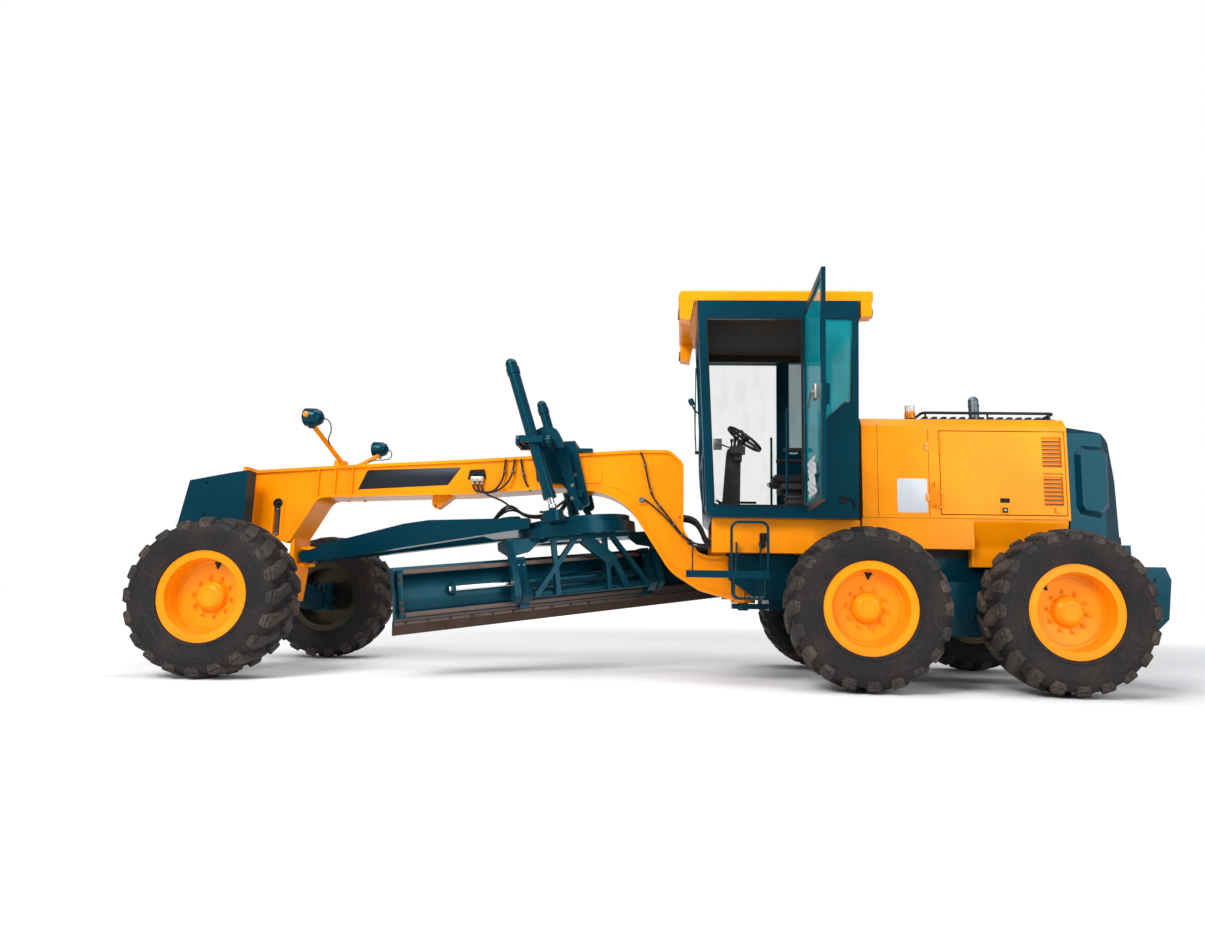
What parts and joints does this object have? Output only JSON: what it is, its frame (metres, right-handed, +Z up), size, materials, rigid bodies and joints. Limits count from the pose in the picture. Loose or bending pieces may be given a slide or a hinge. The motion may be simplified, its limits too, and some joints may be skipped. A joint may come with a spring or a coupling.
{
  "type": "motor grader",
  "caption": "Articulated motor grader with a high cab, tandem rear drive, leaning front wheels and a long angled blade hung from a turning circle under an arched frame.",
  "frame": {"origin": "on the ground in the centre plane, directly under the middle axle", "axes": "+X forward, +Y towards the left side, +Z up"},
  "size_m": [8.828, 2.89, 3.492],
  "materials": {
    "yellow_paint": "satin",
    "teal_paint": "satin",
    "black_paint": "matte",
    "rim_paint": "satin",
    "tyre_rubber": "matte",
    "tinted_glass": "gloss",
    "lamp_lens": "gloss",
    "seat_fabric": "matte",
    "console_plastic": "matte",
    "engine_iron": "matte",
    "chrome_rod": "gloss",
    "worn_steel": "worn",
    "pipe_steel": "worn"
  },
  "bodies": {
    "rear_unit": {"rear_frame": "teal_paint", "rear_axle": "teal_paint", "cab_shell": "teal_paint", "cab_roof": "yellow_paint", "cab_glass": "tinted_glass", "operator_seat": "seat_fabric", "steering_console": "console_plastic", "hood": "yellow_paint", "intake_grille": "black_paint", "rear_cowl": "teal_paint", "engine_block": "engine_iron", "exhaust_stack": "pipe_steel", "rear_bumper": "teal_paint", "side_boxes": "yellow_paint", "access_steps": "teal_paint", "work_lamps": "lamp_lens"},
    "door_left": {"door_left": "teal_paint", "door_glass_left": "tinted_glass"},
    "door_right": {"door_right": "teal_paint", "door_glass_right": "tinted_glass"},
    "hood_hatch_left": {"hood_hatch_left": "yellow_paint"},
    "hood_hatch_right": {"hood_hatch_right": "yellow_paint"},
    "front_frame": {"main_beam": "yellow_paint", "front_counterweight": "teal_paint", "lift_saddle": "teal_paint", "headlamps": "yellow_paint"},
    "front_axle": {"front_axle": "teal_paint"},
    "drawbar_pivot": {"drawbar_pivot": "teal_paint"},
    "drawbar": {"drawbar": "teal_paint"},
    "circle": {"circle": "teal_paint"},
    "blade_carriage": {"blade_carriage": "teal_paint"},
    "moldboard": {"moldboard": "teal_paint", "cutting_edge": "worn_steel", "side_shift_rod": "chrome_rod"},
    "lean_left": {"lean_bracket_left": "teal_paint"},
    "knuckle_left": {"steering_knuckle_left": "teal_paint"},
    "tandem_left": {"tandem_left": "teal_paint"},
    "lift_yoke_left": {"lift_yoke_left": "teal_paint"},
    "lift_barrel_left": {"lift_barrel_left": "teal_paint"},
    "lift_rod_left": {"lift_rod_left": "chrome_rod"},
    "lean_right": {"lean_bracket_right": "teal_paint"},
    "knuckle_right": {"steering_knuckle_right": "teal_paint"},
    "tandem_right": {"tandem_right": "teal_paint"},
    "lift_yoke_right": {"lift_yoke_right": "teal_paint"},
    "lift_barrel_right": {"lift_barrel_right": "teal_paint"},
    "lift_rod_right": {"lift_rod_right": "chrome_rod"},
    "wheel_front_left": {"rim_front_left": "rim_paint", "tyre_front_left": "tyre_rubber"},
    "wheel_front_right": {"rim_front_right": "rim_paint", "tyre_front_right": "tyre_rubber"},
    "wheel_middle_left": {"rim_middle_left": "rim_paint", "tyre_middle_left": "tyre_rubber"},
    "wheel_middle_right": {"rim_middle_right": "rim_paint", "tyre_middle_right": "tyre_rubber"},
    "wheel_rear_left": {"rim_rear_left": "rim_paint", "tyre_rear_left": "tyre_rubber"},
    "wheel_rear_right": {"rim_rear_right": "rim_paint", "tyre_rear_right": "tyre_rubber"}
  },
  "joints": [
    {"name": "articulation", "type": "hinge", "parent": "rear_unit", "child": "front_frame", "pos_m": [0.9, 0, 0.885], "axis": [0, 0, -1], "range_deg": [-25, 25]},
    {"name": "axle_oscillation", "type": "hinge", "parent": "front_frame", "child": "front_axle", "pos_m": [5.336, 0, 0.7], "axis": [1, 0, 0], "range_deg": [-15, 15]},
    {"name": "wheel_lean_left", "type": "hinge", "parent": "front_axle", "child": "lean_left", "pos_m": [5.336, 0.76, 0.6], "axis": [-1, 0, 0], "range_deg": [-17, 17]},
    {"name": "steering_left", "type": "hinge", "parent": "lean_left", "child": "knuckle_left", "pos_m": [5.336, 0.88, 0.655], "axis": [0, 0, 1], "range_deg": [-45, 45]},
    {"name": "wheel_spin_front_left", "type": "hinge", "parent": "knuckle_left", "child": "wheel_front_left", "pos_m": [5.336, 1.045, 0.655], "axis": [0, 1, 0], "continuous": true},
    {"name": "tandem_walk_left", "type": "hinge", "parent": "rear_unit", "child": "tandem_left", "pos_m": [-0.7855, 0.715, 0.655], "axis": [0, 1, 0], "range_deg": [-15, 15]},
    {"name": "wheel_spin_middle_left", "type": "hinge", "parent": "tandem_left", "child": "wheel_middle_left", "pos_m": [0, 1.045, 0.655], "axis": [0, 1, 0], "continuous": true},
    {"name": "wheel_spin_rear_left", "type": "hinge", "parent": "tandem_left", "child": "wheel_rear_left", "pos_m": [-1.571, 1.045, 0.655], "axis": [0, 1, 0], "continuous": true},
    {"name": "wheel_lean_right", "type": "hinge", "parent": "front_axle", "child": "lean_right", "pos_m": [5.336, -0.76, 0.6], "axis": [-1, 0, 0], "range_deg": [-17, 17]},
    {"name": "steering_right", "type": "hinge", "parent": "lean_right", "child": "knuckle_right", "pos_m": [5.336, -0.88, 0.655], "axis": [0, 0, 1], "range_deg": [-45, 45]},
    {"name": "wheel_spin_front_right", "type": "hinge", "parent": "knuckle_right", "child": "wheel_front_right", "pos_m": [5.336, -1.045, 0.655], "axis": [0, 1, 0], "continuous": true},
    {"name": "tandem_walk_right", "type": "hinge", "parent": "rear_unit", "child": "tandem_right", "pos_m": [-0.7855, -0.715, 0.655], "axis": [0, 1, 0], "range_deg": [-15, 15]},
    {"name": "wheel_spin_middle_right", "type": "hinge", "parent": "tandem_right", "child": "wheel_middle_right", "pos_m": [0, -1.045, 0.655], "axis": [0, 1, 0], "continuous": true},
    {"name": "wheel_spin_rear_right", "type": "hinge", "parent": "tandem_right", "child": "wheel_rear_right", "pos_m": [-1.571, -1.045, 0.655], "axis": [0, 1, 0], "continuous": true},
    {"name": "drawbar_swing", "type": "hinge", "parent": "front_frame", "child": "drawbar_pivot", "pos_m": [5.09, 0, 1.039], "axis": [0, 0, 1], "range_deg": [-0.5, 10]},
    {"name": "drawbar_lift", "type": "hinge", "parent": "drawbar_pivot", "child": "drawbar", "pos_m": [5.09, 0, 1.039], "axis": [0, -1, 0], "range_deg": [-0.5, 20]},
    {"name": "circle_turn", "type": "hinge", "parent": "drawbar", "child": "circle", "pos_m": [2.50035, 0, 1.37993], "axis": [0.1305, 0, 0.9914], "range_deg": [0, 98]},
    {"name": "blade_pitch", "type": "hinge", "parent": "circle", "child": "blade_carriage", "pos_m": [2.31697, 0.16537, 0.77873], "axis": [0.8408, 0.5299, -0.1107], "range_deg": [-5, 40]},
    {"name": "blade_side_shift", "type": "slide", "parent": "blade_carriage", "child": "moldboard", "axis": [0.8408, 0.5299, -0.1107], "range_m": [-0.45, 0.6]},
    {"name": "lift_yoke_swing_left", "type": "hinge", "parent": "front_frame", "child": "lift_yoke_left", "pos_m": [2.802, 0.725, 2.06], "axis": [-1, 0, 0], "range_deg": [-5, 40]},
    {"name": "lift_barrel_tilt_left", "type": "hinge", "parent": "lift_yoke_left", "child": "lift_barrel_left", "pos_m": [2.802, 0.725, 2.06], "axis": [0, -1, 0], "range_deg": [-1, 12]},
    {"name": "lift_rod_travel_left", "type": "slide", "parent": "lift_barrel_left", "child": "lift_rod_left", "axis": [-0.3109, 0, -0.9505], "range_m": [-0.03, 0.9]},
    {"name": "lift_yoke_swing_right", "type": "hinge", "parent": "front_frame", "child": "lift_yoke_right", "pos_m": [2.802, -0.725, 2.06], "axis": [-1, 0, 0], "range_deg": [-5, 40]},
    {"name": "lift_barrel_tilt_right", "type": "hinge", "parent": "lift_yoke_right", "child": "lift_barrel_right", "pos_m": [2.802, -0.725, 2.06], "axis": [0, -1, 0], "range_deg": [-1, 12]},
    {"name": "lift_rod_travel_right", "type": "slide", "parent": "lift_barrel_right", "child": "lift_rod_right", "axis": [-0.3109, 0, -0.9505], "range_m": [-0.03, 0.9]},
    {"name": "cab_door_left", "type": "hinge", "parent": "rear_unit", "child": "door_left", "pos_m": [0.413, 0.693, 2.36], "axis": [0, 0, -1], "range_deg": [0, 90]},
    {"name": "cab_door_right", "type": "hinge", "parent": "rear_unit", "child": "door_right", "pos_m": [0.413, -0.693, 2.36], "axis": [0, 0, -1], "range_deg": [0, 90]},
    {"name": "hood_hatch_left", "type": "hinge", "parent": "rear_unit", "child": "hood_hatch_left", "pos_m": [-0.797, 0.564, 1.85], "axis": [0, 0, -1], "range_deg": [0, 95]},
    {"name": "hood_hatch_right", "type": "hinge", "parent": "rear_unit", "child": "hood_hatch_right", "pos_m": [-0.797, -0.564, 1.85], "axis": [0, 0, 1], "range_deg": [0, 95]}
  ],
  "couplings": [
    {"joint": "wheel_lean_right", "follows": "wheel_lean_left", "ratio": 1},
    {"joint": "steering_right", "follows": "steering_left", "ratio": 1},
    {"joint": "lift_yoke_swing_left", "follows": "drawbar_swing", "ratio": 3.64},
    {"joint": "lift_barrel_tilt_left", "follows": "drawbar_lift", "ratio": 0.5325},
    {"joint": "lift_rod_travel_left", "follows": "drawbar_lift", "m_per_rad": 2.4524},
    {"joint": "lift_yoke_swing_right", "follows": "drawbar_swing", "ratio": 3.64},
    {"joint": "lift_barrel_tilt_right", "follows": "drawbar_lift", "ratio": 0.5325},
    {"joint": "lift_rod_travel_right", "follows": "drawbar_lift", "m_per_rad": 2.4524}
  ]
}
